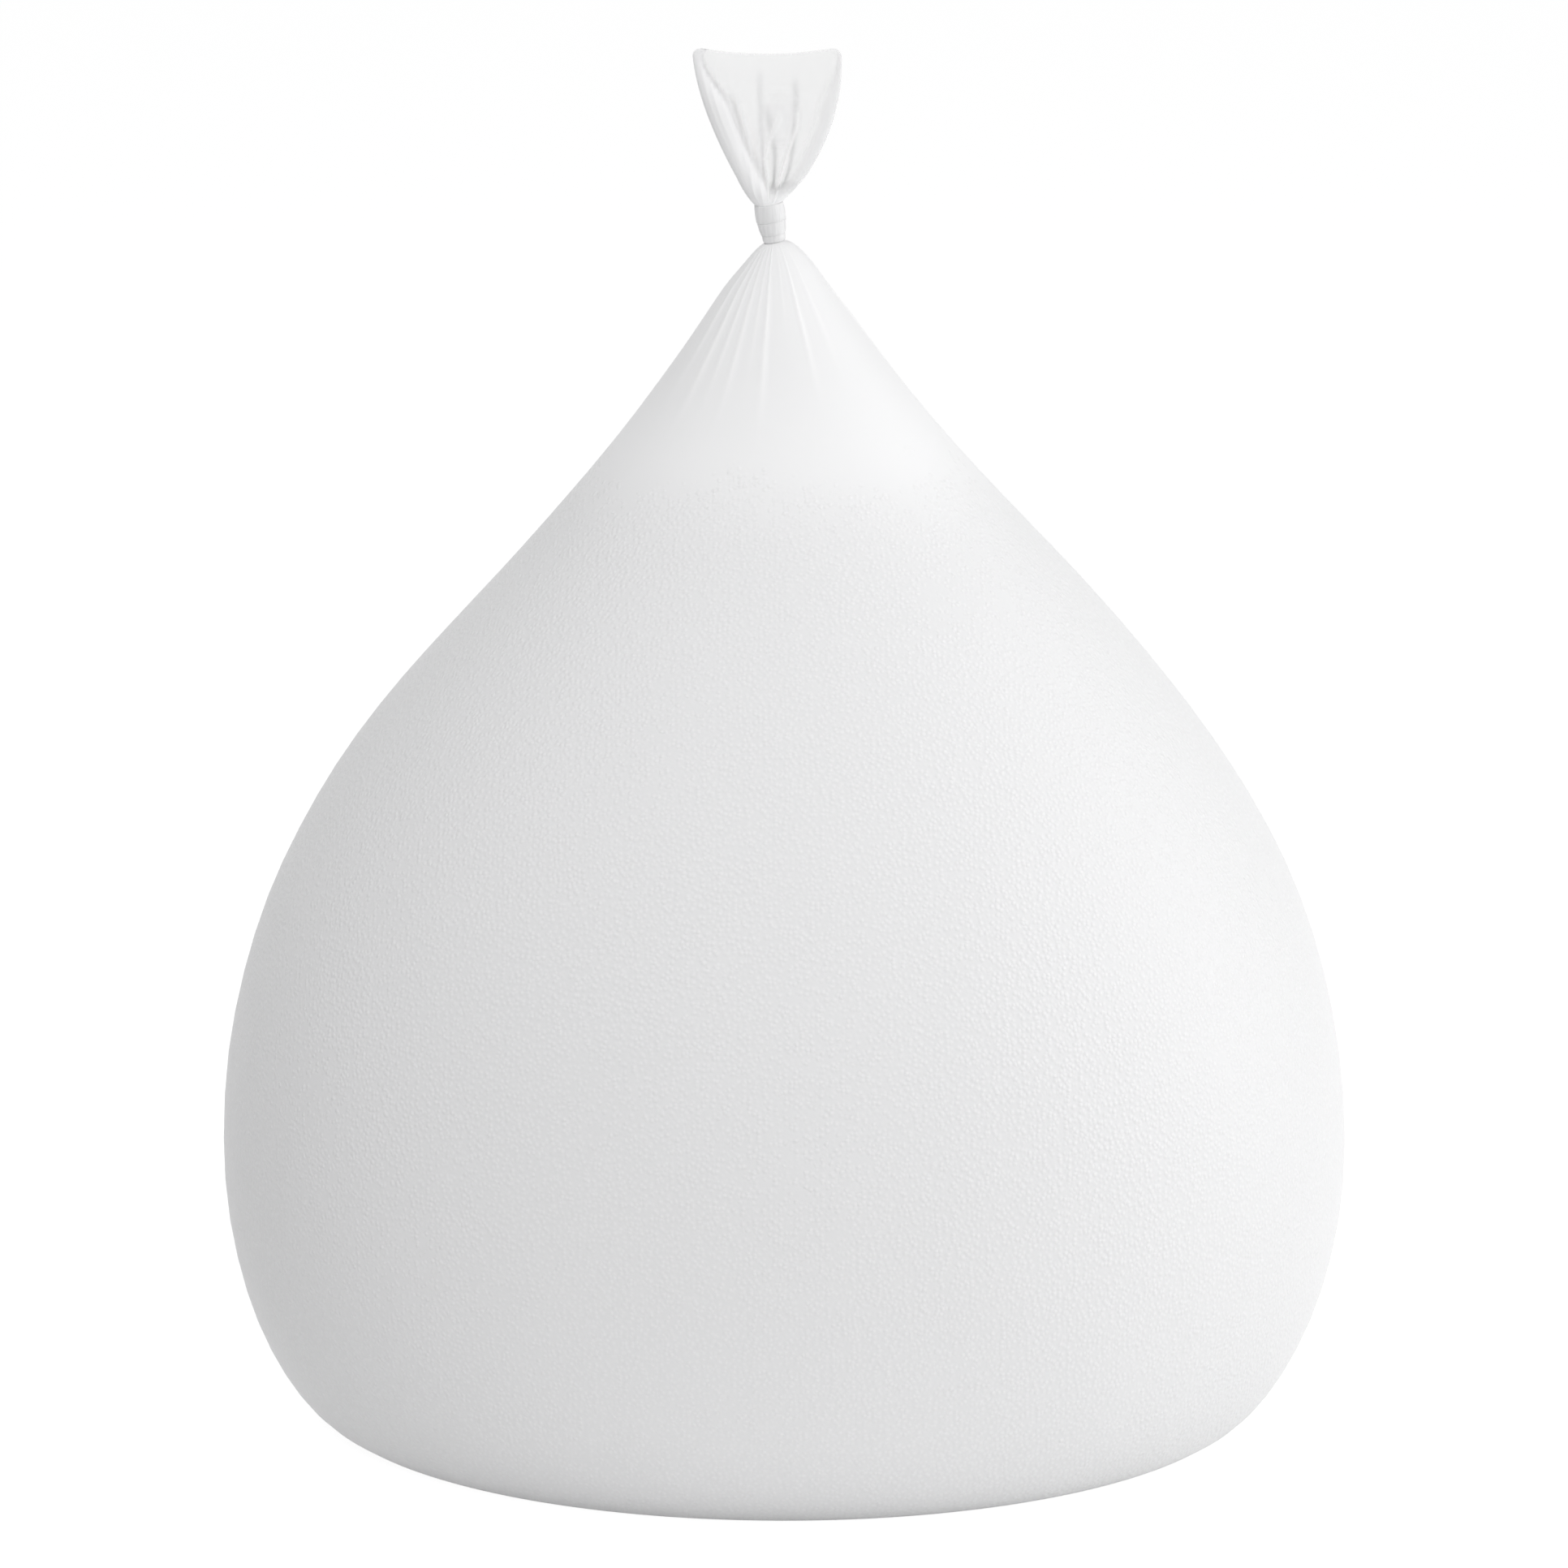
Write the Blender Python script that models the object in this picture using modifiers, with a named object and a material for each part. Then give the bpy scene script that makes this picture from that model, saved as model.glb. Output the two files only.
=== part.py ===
"""Bag of polystyrene beads: a milky film sack, filled to its shoulder and taped shut at the neck.

Metres, +Z up. The origin is the middle of the flat foot, on the floor, and the front is -Y.
The film is one lofted sheet: a round belly, a pleated cone, a tight leaning neck and, above
the tape, the flared loose mouth. The beads are one solid mass inside it.
"""

import math
from collections import namedtuple

import bmesh
import bpy
from mathutils import Vector
from mathutils.geometry import interpolate_bezier

OBJECT_NAME = "bead_bag"

# Side of the filled sack: foot, belly, fill line and waist, with slopes as angles from the
# vertical
FOOT_RADIUS = 0.322
BELLY_RADIUS = 0.3985
BELLY_HEIGHT = 0.193
FILL_RADIUS = 0.124
FILL_RISE = 0.4936
FILL_SLOPE = math.radians(39.8)
WAIST_RADIUS = 0.0062
WAIST_RISE = 0.1484
WAIST_SLOPE = math.radians(78.0)

# Roundness of each stretch: how far its curve holds to its first and to its last direction,
# as shares of the stretch's own length
HEEL_ROUNDNESS = (0.116, 0.578)
SHOULDER_ROUNDNESS = (0.414, 0.312)
CONE_ROUNDNESS = (0.61, 0.091)

# Film, and the beads behind it
FILM_THICKNESS = 0.0005
FILL_GAP = 0.0003
FILL_MOUND = 0.010

# Centre line: a slight sway below the fill line, then a drift and a lean to -X at the neck
SWAY = 0.0028
SWAY_SPREAD = 0.070
DRIFT_START = 0.095
WAIST_OFFSET = 0.0065
NECK_LEAN = math.radians(9.0)
LEAN_RUN_IN = 0.035
LEAN_RUN_OUT = 0.018

# Gathered neck and the tape wound round it in three turns
NECK_RADIUS = 0.0092
NECK_CHANNEL_RADIUS = 0.0015
TAPE_GAP = 0.0003
TAPE_THICKNESS = 0.0007
TAPE_LAP = 0.00035
LOWER_TURN = 0.0052
MIDDLE_TURN = 0.0096
UPPER_TURN = 0.0122

# Loose mouth above the tape: a flattened fan with rounded corners and a dipped rim
MOUTH_HEIGHT = 0.109
MOUTH_HALF_WIDTH = 0.052
MOUTH_HALF_DEPTH = 0.0085
MOUTH_CORNER = 0.0055
MOUTH_FLARE = 0.8
RIM_DIP = 0.004
RIM_DIP_ONSET = 4

# Pleats: depth where they are deepest, and how their spacing drifts round the neck,
# each drift as (waves round the neck, size, start) in radians
PLEATS = 15
CONE_FOLD = 0.0026
NECK_FOLD = 0.0009
MOUTH_FOLD = 0.0024
FOLD_SKEW = 0.8
PLEAT_DRIFTS = ((2, 0.9, 0.6), (3, 0.6, 2.1))

# Fineness of the meshes
SEGMENTS = 76
HEEL_RINGS = 5
SHOULDER_RINGS = 8
CONE_RINGS = 6
MOUTH_RINGS = 5
MOUTH_CROWDING = 1.4
CORNER_RINGS = 2
MOUND_RINGS = 2
TAPE_STEPS = 40
MERGE_DISTANCE = 0.00005

FILL_HEIGHT = BELLY_HEIGHT + FILL_RISE
WAIST_HEIGHT = FILL_HEIGHT + WAIST_RISE
TAPER_HEIGHT = LOWER_TURN + MIDDLE_TURN
TAPE_HEIGHT = TAPER_HEIGHT + UPPER_TURN

Section = namedtuple("Section", "x z lean half_width half_depth fold dip")


def clear_scene():
    for obj in list(bpy.data.objects):
        bpy.data.objects.remove(obj, do_unlink=True)


def make_collection():
    collection = bpy.data.collections.new(OBJECT_NAME)
    bpy.context.scene.collection.children.link(collection)
    return collection


def make_material(name, color, roughness, alpha=1.0):
    material = bpy.data.materials.new(name)
    material.use_nodes = True
    shader = material.node_tree.nodes["Principled BSDF"]
    shader.inputs["Base Color"].default_value = (*color, 1.0)
    shader.inputs["Roughness"].default_value = roughness
    shader.inputs["Metallic"].default_value = 0.0
    shader.inputs["Alpha"].default_value = alpha
    material.diffuse_color = (*color, alpha)
    return material


def direction(slope):
    """Upwards and inwards, at an angle from the vertical."""
    return Vector((-math.sin(slope), math.cos(slope)))


def stretch(start, leaving, end, arriving, roundness, rings):
    """Points of one curve after its start, leaving and arriving in the given directions."""
    length = (end - start).length
    first, last = roundness
    return interpolate_bezier(start, start + leaving * length * first,
                              end - arriving * length * last, end, rings + 1)[1:]


def side_outline():
    """Outer film as (radius, height) points, from the edge of the foot up to the waist."""
    outwards = Vector((1.0, 0.0))
    upwards = direction(0.0)
    foot = Vector((FOOT_RADIUS, 0.0))
    belly = Vector((BELLY_RADIUS, BELLY_HEIGHT))
    fill_line = Vector((FILL_RADIUS, FILL_HEIGHT))
    waist = Vector((WAIST_RADIUS, WAIST_HEIGHT))
    points = [foot]
    points += stretch(foot, outwards, belly, upwards, HEEL_ROUNDNESS, HEEL_RINGS)
    points += stretch(belly, upwards, fill_line, direction(FILL_SLOPE),
                      SHOULDER_ROUNDNESS, SHOULDER_RINGS)
    points += stretch(fill_line, direction(FILL_SLOPE), waist, direction(WAIST_SLOPE),
                      CONE_ROUNDNESS, CONE_RINGS)
    return points


def inset_outline(points, depth):
    """Move an outline inwards by depth, mitred at its points. The foot stays flat."""
    centre = Vector((0.0, 0.0))
    chain = [centre] + list(points)
    normals = []
    for first, second in zip(chain, chain[1:]):
        along = (second - first).normalized()
        normals.append(Vector((along.y, -along.x)))
    moved = []
    for point, before, after in zip(points, normals, normals[1:] + normals[-1:]):
        middle = (before + after).normalized()
        moved.append(point - middle * (depth / middle.dot(after)))
    return moved


def smooth(share):
    share = min(max(share, 0.0), 1.0)
    return share * share * (3.0 - 2.0 * share)


def centre_offset(height):
    """How far the centre line lies from the Z axis in X, below the tape."""
    start = FILL_HEIGHT - DRIFT_START
    sway = SWAY * math.exp(-((height - start) / SWAY_SPREAD) ** 2)
    share = max(height - start, 0.0) / (WAIST_HEIGHT - start)
    return sway - WAIST_OFFSET * share * share


def cone_fold(height):
    """Depth of the pleats below the tape: none at the beads, and shallow again at the waist."""
    share = min(max((height - FILL_HEIGHT) / WAIST_RISE, 0.0), 1.0)
    return CONE_FOLD * math.sin(math.pi * share ** FOLD_SKEW) + NECK_FOLD * share * share


def body_sections(inset):
    """Round sections of the filled sack and its cone, from the foot to the waist."""
    outer = side_outline()
    sections = []
    for (_, level), (radius, height) in zip(outer, inset_outline(outer, inset)):
        lean = NECK_LEAN * smooth(1.0 - (WAIST_HEIGHT - level) / LEAN_RUN_IN)
        sections.append(Section(centre_offset(level), height, lean, radius, radius,
                                cone_fold(level), 0.0))
    return sections


def neck_radius(rise):
    """Radius of the gathered film inside the tape: it widens over the two lower turns."""
    share = min(rise / TAPER_HEIGHT, 1.0)
    return WAIST_RADIUS + (NECK_RADIUS - WAIST_RADIUS) * share


def neck_section(rise, radius, fold):
    """Section of the neck at a rise along its leaning axis, counted from the waist."""
    x = -WAIST_OFFSET - rise * math.sin(NECK_LEAN)
    z = WAIST_HEIGHT + rise * math.cos(NECK_LEAN)
    return Section(x, z, NECK_LEAN, radius, radius, fold, 0.0)


def mouth_rises():
    """Heights of the mouth's sections above the tape, close together at the neck and corners."""
    straight = MOUTH_HEIGHT - MOUTH_CORNER
    rises = []
    for ring in range(1, MOUTH_RINGS + 1):
        rises.append(straight * (ring / MOUTH_RINGS) ** MOUTH_CROWDING)
    for ring in range(1, CORNER_RINGS + 1):
        angle = 0.5 * math.pi * ring / CORNER_RINGS
        rises.append(straight + MOUTH_CORNER * math.sin(angle))
    return rises


def mouth_section(rise, inset):
    """Section of the loose mouth at a height above the tape."""
    top = neck_section(TAPE_HEIGHT, NECK_RADIUS, NECK_FOLD)
    share = rise / MOUTH_HEIGHT
    run = min(rise, LEAN_RUN_OUT)
    x = top.x - math.sin(NECK_LEAN) * (run - run * run / (2.0 * LEAN_RUN_OUT))
    lean = NECK_LEAN * (1.0 - run / LEAN_RUN_OUT)
    spread = math.sin(0.5 * math.pi * share) ** MOUTH_FLARE
    half_width = NECK_RADIUS + (MOUTH_HALF_WIDTH - NECK_RADIUS) * spread
    past_corner = max(rise - (MOUTH_HEIGHT - MOUTH_CORNER), 0.0)
    half_width -= MOUTH_CORNER - math.sqrt(max(MOUTH_CORNER ** 2 - past_corner ** 2, 0.0))
    half_depth = NECK_RADIUS + (MOUTH_HALF_DEPTH - NECK_RADIUS) * share
    fold = NECK_FOLD + (MOUTH_FOLD - NECK_FOLD) * math.sin(math.pi * share)
    return Section(x, top.z + rise, lean, half_width - inset, half_depth - inset, fold,
                   RIM_DIP * share ** RIM_DIP_ONSET)


def ridge(turn):
    """Cross-section of the pleats: 1 on a ridge and 0 in a valley."""
    phase = PLEATS * turn
    for waves, size, start in PLEAT_DRIFTS:
        phase += size * math.sin(waves * turn + start)
    return 0.5 + 0.5 * math.cos(phase)


def ring_points(section):
    points = []
    for index in range(SEGMENTS):
        turn = 2.0 * math.pi * index / SEGMENTS
        tuck = section.fold * (1.0 - ridge(turn))
        across = (section.half_width - tuck) * math.cos(turn)
        through = (section.half_depth - tuck) * math.sin(turn)
        drop = section.dip * math.sin(turn) ** 2
        x = section.x + across * math.cos(section.lean) + drop * math.sin(section.lean)
        z = section.z + across * math.sin(section.lean) - drop * math.cos(section.lean)
        points.append(Vector((x, through, z)))
    return points


def loft(name, sections):
    """Closed body through the sections in order, with a flat cap on the first and the last."""
    mesh = bpy.data.meshes.new(name)
    body = bmesh.new()
    rings = []
    for section in sections:
        rings.append([body.verts.new(point) for point in ring_points(section)])
    for lower, upper in zip(rings, rings[1:]):
        for index in range(SEGMENTS):
            after = (index + 1) % SEGMENTS
            body.faces.new((lower[index], lower[after], upper[after], upper[index]))
    body.faces.new(reversed(rings[0]))
    body.faces.new(rings[-1])
    bmesh.ops.recalc_face_normals(body, faces=body.faces)
    body.to_mesh(mesh)
    body.free()
    mesh.shade_smooth()
    return bpy.data.objects.new(name, mesh)


def make_film_sack(collection, material):
    """The film: up its outer face from the foot to the rim, and down its inner face.

    The two faces lie one film thickness apart, except under the tape, where the gathered film
    is a thick wall round a narrow channel. So both are lofted, as one closed skin.
    """
    outer = body_sections(0.0)
    inner = body_sections(FILM_THICKNESS)[:-1]
    for rise in (TAPER_HEIGHT, TAPE_HEIGHT):
        outer.append(neck_section(rise, neck_radius(rise), NECK_FOLD))
    for rise in (0.0, TAPE_HEIGHT):
        inner.append(neck_section(rise, NECK_CHANNEL_RADIUS, 0.0))
    for rise in mouth_rises():
        outer.append(mouth_section(rise, 0.0))
        inner.append(mouth_section(rise, FILM_THICKNESS))
    sack = loft("film_sack", outer + inner[::-1])
    sack.data.materials.append(material)
    collection.objects.link(sack)
    return sack


def make_bead_fill(collection, material):
    """The beads as one mass: inside the film up to the fill line, with a low mound on top."""
    wall = body_sections(FILM_THICKNESS + FILL_GAP)
    sections = wall[:HEEL_RINGS + SHOULDER_RINGS + 1]
    edge = sections[-1]
    for ring in range(1, MOUND_RINGS + 1):
        share = ring / (MOUND_RINGS + 1)
        radius = edge.half_width * (1.0 - share)
        height = edge.z + FILL_MOUND * math.sin(0.5 * math.pi * share)
        sections.append(edge._replace(z=height, half_width=radius, half_depth=radius))
    fill = loft("bead_fill", sections)
    fill.data.materials.append(material)
    collection.objects.link(fill)
    return fill


def tape_outline():
    """Section of the wound tape as (radius, rise) points: down its outer side, up its inner."""
    points = []
    for top, bottom in ((TAPE_HEIGHT, TAPER_HEIGHT), (TAPER_HEIGHT, LOWER_TURN), (LOWER_TURN, 0.0)):
        upper = neck_radius(top) + TAPE_GAP + TAPE_THICKNESS
        lower = neck_radius(bottom) + TAPE_GAP + TAPE_THICKNESS + TAPE_LAP
        points.append((upper, top))
        points.append((lower, bottom))
    for rise in (0.0, TAPER_HEIGHT, TAPE_HEIGHT):
        points.append((neck_radius(rise) + TAPE_GAP, rise))
    return points


def make_neck_tape(collection, material):
    """The tape as one turned band, coaxial with the leaning neck."""
    mesh = bpy.data.meshes.new("neck_tape")
    outline = [(radius, 0.0, rise) for radius, rise in tape_outline()]
    count = len(outline)
    edges = [(index, (index + 1) % count) for index in range(count)]
    mesh.from_pydata(outline, edges, [])
    tape = bpy.data.objects.new("neck_tape", mesh)
    tape.location = (-WAIST_OFFSET, 0.0, WAIST_HEIGHT)
    tape.rotation_euler = (0.0, -NECK_LEAN, 0.0)
    screw = tape.modifiers.new("turn", "SCREW")
    screw.axis = "Z"
    screw.angle = 2.0 * math.pi
    screw.steps = TAPE_STEPS
    screw.render_steps = TAPE_STEPS
    screw.use_merge_vertices = True
    screw.merge_threshold = MERGE_DISTANCE
    screw.use_smooth_shade = True
    tape.data.materials.append(material)
    collection.objects.link(tape)
    return tape


def main():
    clear_scene()
    collection = make_collection()
    film = make_material("milky_film", (0.90, 0.91, 0.92), 0.35, alpha=0.6)
    beads = make_material("polystyrene_beads", (0.93, 0.93, 0.92), 0.75)
    tape = make_material("clear_tape", (0.86, 0.86, 0.86), 0.30)
    make_film_sack(collection, film)
    make_bead_fill(collection, beads)
    make_neck_tape(collection, tape)


main()
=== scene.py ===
"""Bag of polystyrene beads: the fine shape and the finish of the sack, its beads and its tape.

Metres, +Z up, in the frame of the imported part. The front is -Y, and turns round the sack are
counted from +X towards +Y, so that the front lies at minus a quarter turn.
"""

import math
from collections import namedtuple

import bmesh
import bpy
import numpy as np
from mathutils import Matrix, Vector, noise
from mathutils.geometry import interpolate_bezier


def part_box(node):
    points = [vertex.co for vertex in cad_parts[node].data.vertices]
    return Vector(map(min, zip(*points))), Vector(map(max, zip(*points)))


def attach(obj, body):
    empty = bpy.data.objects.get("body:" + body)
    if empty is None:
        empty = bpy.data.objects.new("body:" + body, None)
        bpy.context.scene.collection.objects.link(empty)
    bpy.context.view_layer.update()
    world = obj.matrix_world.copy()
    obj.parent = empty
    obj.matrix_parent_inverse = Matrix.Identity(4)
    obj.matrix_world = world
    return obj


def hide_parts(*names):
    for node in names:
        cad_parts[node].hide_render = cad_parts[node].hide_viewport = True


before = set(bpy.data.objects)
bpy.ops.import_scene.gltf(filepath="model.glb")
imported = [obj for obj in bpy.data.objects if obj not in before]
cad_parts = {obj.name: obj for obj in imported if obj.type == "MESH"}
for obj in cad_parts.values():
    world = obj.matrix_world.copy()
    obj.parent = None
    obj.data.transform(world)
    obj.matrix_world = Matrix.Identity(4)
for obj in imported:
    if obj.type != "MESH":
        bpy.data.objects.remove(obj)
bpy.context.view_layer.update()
sack_low, sack_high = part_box("film_sack")

# Side of the filled sack, as in the part's source: foot, belly, fill line and waist
FOOT_RADIUS = 0.322
BELLY_RADIUS = 0.5 * (sack_high.x - sack_low.x)
BELLY_HEIGHT = 0.193
FILL_RADIUS = 0.124
FILL_RISE = 0.4936
FILL_SLOPE = math.radians(39.8)
WAIST_RADIUS = 0.0062
WAIST_RISE = 0.1484
WAIST_SLOPE = math.radians(78.0)
HEEL_ROUNDNESS = (0.116, 0.578)
SHOULDER_ROUNDNESS = (0.414, 0.312)
CONE_ROUNDNESS = (0.61, 0.091)

# Film, and the gap between it and the beads
FILM_THICKNESS = 0.0005
FILL_GAP = 0.0003
FILL_MOUND = 0.010

# Centre line: sway below the fill line, drift and lean at the neck
SWAY = 0.0028
SWAY_SPREAD = 0.070
DRIFT_START = 0.095
WAIST_OFFSET = 0.0065
NECK_LEAN = math.radians(9.0)
LEAN_RUN_IN = 0.035
LEAN_RUN_OUT = 0.018

# Gathered neck and its tape, wound in three turns
NECK_RADIUS = 0.0092
NECK_CHANNEL_RADIUS = 0.0015
TAPE_GAP = 0.0003
TAPE_THICKNESS = 0.0007
TAPE_LAP = 0.00035
LOWER_TURN = 0.0052
MIDDLE_TURN = 0.0096
UPPER_TURN = 0.0122
TURN_SECTION = (0.0, 0.06, 0.25, 0.5, 0.75, 0.94, 1.0)
TURN_BULGE = 0.0003
TAPE_GRIP = 0.0003
TAPE_RIPPLE = 0.00016
RIPPLES_ROUND = 7.0
RIPPLES_UP = 60.0
TAPE_WAVER = 0.00045
WAVER_TURN = 0.7

# Loose mouth above the tape: a flat web between two rolled sides. Each start and each run is a
# share of the mouth's height.
MOUTH_HALF_WIDTH = 0.052
MOUTH_CORNER = 0.0055
MOUTH_FLARE = 0.8
RIM_DIP = 0.004
RIM_DIP_ONSET = 4
MOUTH_SWING = 0.0036
SWING_ONSET = 0.7
SIDE_ROLL = 0.0064
SIDE_ROLL_RUN = 0.2
SIDE_ROLL_AT_RIM = 0.0022
RIM_ROLL_START = 0.60
RIM_ROLL_RUN = 0.35
LEFT_ROLL_SWELL = 0.35
LEFT_SWELL_RUN = 0.15
LEFT_HEM = 0.85
HEM_SOFTNESS = 1.1
HEM_RUN = 0.1
# The right roll counts less of its film as doubled than the left, so the left roll hides more of
# the white behind it: painted shade on the left roll and painted light through the right one
RIGHT_ROLL_PAINTED_SHADE = 0.40
LEFT_FLATNESS = 0.05
RIGHT_FLATNESS = 0.40
FLATNESS_RUN = 0.3
WEB_GAP = 0.0015
RIM_GAPE = 0.0022
RIM_GAPE_START = 0.75
NECK_GAPE = 0.0046
NECK_GAPE_RUN = 0.55
NECK_BOW = 2.2
BOW_GAIN = 6.0
BOW_START = 0.2
BOW_RUN = 0.4
CREASE_SOFTNESS = 0.0006
SIDE_SHARPNESS = 40.0

# Shallow dent in the front of the web, placed and sized as shares of its height and half width
DENT_DEPTH = 0.0007
DENT_HEIGHT = 0.74
DENT_REACH = 0.05
DENT_PLACE = 0.32
DENT_WIDTH = 0.4

# Unevenness of the filled film, as (waves in a metre, depth). It grows up to a height above
# the foot, and dies out at a share of the cone.
UNEVENNESS = ((5.0, 0.0016), (17.0, 0.00035))
UNEVEN_HEIGHT = 0.06
UNEVEN_CONE_SHARE = 0.7

# Fineness of the meshes
SEGMENTS = 360
FOOT_RINGS = 3
HEEL_RINGS = 12
SHOULDER_RINGS = 22
CONE_RINGS = 34
NECK_RINGS = 5
MOUTH_RINGS = 28
CORNER_RINGS = 5
MOUTH_CROWDING = 1.25
MOUND_RINGS = 6
MOUND_SIDES = 48
MOUND_CUTS = 5
TAPE_SEGMENTS = 144
SEED = 7

FILL_HEIGHT = BELLY_HEIGHT + FILL_RISE
WAIST_HEIGHT = FILL_HEIGHT + WAIST_RISE
TAPER_HEIGHT = LOWER_TURN + MIDDLE_TURN
TAPE_HEIGHT = TAPER_HEIGHT + UPPER_TURN
MOUTH_FOOT = WAIST_HEIGHT + TAPE_HEIGHT * math.cos(NECK_LEAN)
MOUTH_HEIGHT = sack_high.z - MOUTH_FOOT

# Beads pressing their round tops into the film, in patches, up to an uneven edge
BEAD_PITCH = 0.0035
BEAD_RANDOMNESS = 0.85
BEAD_RELIEF = 0.00050
CELL_EDGE = 0.75
PRESSING_DEPTH = 0.012
PRESSING_WAVER = 0.030
PRESSING_WAVES = 30.0
PRESSING_FADE = 0.050
PRESSING_REACH = 1.4
PRESSING_SOFTNESS = 0.4
PATCH_LEVEL = 0.95
PATCH_CHANGE = 0.6
PATCH_WAVES = 9.0

# Film: its colour between beads, and a lighter one on their tops that is a painted highlight.
# Where it is loose it is lighter, as painted light for the light that shines through the film,
# and on a crest or near the tape whiter still, partly for doubled film and partly as painted light
FILM_COLOR = (0.893, 0.893, 0.896)
BEAD_TOP_HIGHLIGHT_COLOR = (0.935, 0.935, 0.938)
LOOSE_PAINTED_LIGHT_COLOR = (0.958, 0.958, 0.960)
CREST_AND_PAINTED_LIGHT_COLOR = (0.990, 0.990, 0.990)
FILM_ROUGHNESS = 0.38
FILM_SHINE = 0.15
CREST_HEIGHT = 0.0011
# Painted light on the mouth's web near the tape, and the share of its height over which it fades
WEB_PAINTED_LIGHT = 0.9
WEB_PAINTED_LIGHT_RUN = 0.7
STREAK_SCALE = (11.0, 11.0, 5.0)
STREAK_DETAIL = 2.0
STREAK_ROUGHNESS = 0.55
STREAK_RELIEF = 0.0003

# Share of what lies behind that the film hides: in the cone, in the mouth, on its inner face
# and where it is doubled, and how it changes from the beads up and from the tape up
CONE_COVER = 0.97
MOUTH_COVER = 0.32
INNER_COVER = 0.0
DOUBLE_COVER = 0.94
CLEAR_START = 0.012
CLEAR_RUN = 0.070
FADE_BELOW = 0.050
FADE_ABOVE = 0.014
CLOSED_FROM = 0.95
LOOSENESS = 0.75
LOOSENESS_RUN = 0.8

# Loose beads on top of the mass, and the finish of all beads
HEAP_BEAD_RADIUS = 0.0020
HEAP_BEAD_SIZES = (0.8, 1.1)
HEAP_BEAD_TURN = 6.28
HEAP_SPACING = 0.0034
HEAP_DENSITY = 150000.0
HEAP_MARGIN = 0.0045
BEAD_SKIN_CELLS = 1500.0
BEAD_SKIN_RELIEF = 0.00005
BEAD_SEAM_COLOR = (0.88, 0.88, 0.88)
BEAD_COLOR = (0.95, 0.95, 0.945)
BEAD_ROUGHNESS = 0.65

# Tape, with the upright lines of the gathered film under it
TAPE_LINES_SHIFT = (0.86, 0.0, -1.0)
TAPE_LINES_SCALE = (100.0, 100.0, 6.0)
TAPE_LINES_GRAIN = 4.0
TAPE_LINES_DETAIL = 3.0
TAPE_LINES_SPAN = (0.3, 0.7)
TAPE_LINES_RELIEF = 0.00035
TAPE_DARK_COLOR = (0.81, 0.81, 0.812)
TAPE_LIGHT_COLOR = (0.87, 0.87, 0.872)
TAPE_ROUGHNESS = 0.34
TAPE_SHINE = 0.20

# Studio: light all round, and a floor with one tone for the light and one for the camera
AMBIENT = 0.22
AMBIENT_COLOR = (0.985, 0.985, 1.0)
FLOOR_HALF_SIZE = 9.0
FLOOR_ROUGHNESS = 0.9
FLOOR_COLOR = 0.97
FLOOR_SHADE = 0.28
FLOOR_LIGHT = 0.93
LAMP_TARGET = Vector((0.0, 0.0, 0.4))
LIGHT_BOUNCES = {
    "max_bounces": 6,
    "diffuse_bounces": 3,
    "glossy_bounces": 1,
    "transmission_bounces": 1,
    "transparent_max_bounces": 16,
}

# Camera at the photo's viewing angle, fitted to the outline of the sack
SENSOR_WIDTH = 36.0
LENS = 243.5
CAMERA_PLACE = (0.0, -7.325, 2.028)
CAMERA_TILT = math.radians(77.82)

# One ring of film. Share is how far up its own stretch it lies.
Ring = namedtuple("Ring", "stretch share x z lean width depth inset")
# A pleat of the cone: degrees right of the front, height, width in degrees, and the share of
# the cone at which it fades out
Pleat = namedtuple("Pleat", "degrees height width reach")
# A fold of the mouth's web as (share of the mouth's height, place across it from -1 to 1) rows,
# with its height, and its width as a share of the half width
Fold = namedtuple("Fold", "path height width")
# A square soft lamp: its direction and distance from the target, the length of its side, watts
Lamp = namedtuple("Lamp", "name towards distance size power")

# Pleats on the front of the cone, and the spans from which the others are drawn: the step from
# one to the next in degrees, and their height, width and reach. A pleat grows to its height over
# a run, as a share of the cone, and is lower where the cone is narrower than a radius.
FRONT_PLEATS = (
    Pleat(-62.0, 0.0009, 2.6, 0.12),
    Pleat(-48.5, 0.0010, 2.4, 0.02),
    Pleat(-38.0, 0.0008, 2.0, 0.08),
    Pleat(-28.0, 0.0009, 2.1, 0.02),
    Pleat(-18.0, 0.0007, 1.8, 0.20),
    Pleat(-9.5, 0.0012, 1.8, 0.02),
    Pleat(5.0, 0.0005, 2.0, 0.35),
    Pleat(19.0, 0.0010, 1.8, 0.12),
    Pleat(36.0, 0.0006, 2.6, 0.20),
)
SMOOTH_UP_TO = 70.0
PLEAT_ROOM = 12.0
PLEAT_STEPS = (15.0, 27.0)
PLEAT_HEIGHTS = (0.0006, 0.0013)
PLEAT_WIDTHS = (2.8, 4.6)
PLEAT_REACHES = (0.05, 0.35)
PLEAT_RUN = 0.35
PLEAT_FULL_RADIUS = 0.045

# Folds of the mouth's web, which fade at both ends and close to the tape
FRONT_FOLDS = (
    Fold(((0.08, -0.64), (0.29, -0.44), (0.46, -0.42), (0.63, -0.46)), 0.0008, 0.060),
    Fold(((0.02, -0.36), (0.32, -0.26), (0.50, -0.20)), 0.0006, 0.070),
    Fold(((0.02, -0.02), (0.09, -0.06), (0.29, -0.15), (0.39, -0.07), (0.56, 0.13)),
         0.0011, 0.050),
    Fold(((0.02, 0.30), (0.22, 0.27), (0.37, 0.34), (0.49, 0.43), (0.63, 0.40)),
         0.0011, 0.048),
    Fold(((0.42, 0.14), (0.70, 0.16)), 0.0009, 0.170),
    Fold(((0.29, -0.65), (0.46, -0.54), (0.67, -0.50), (0.83, -0.47)), -0.0006, 0.050),
    Fold(((0.05, 0.19), (0.19, 0.46), (0.33, 0.65), (0.66, 0.74), (0.91, 0.93)),
         -0.0010, 0.030),
)
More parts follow.
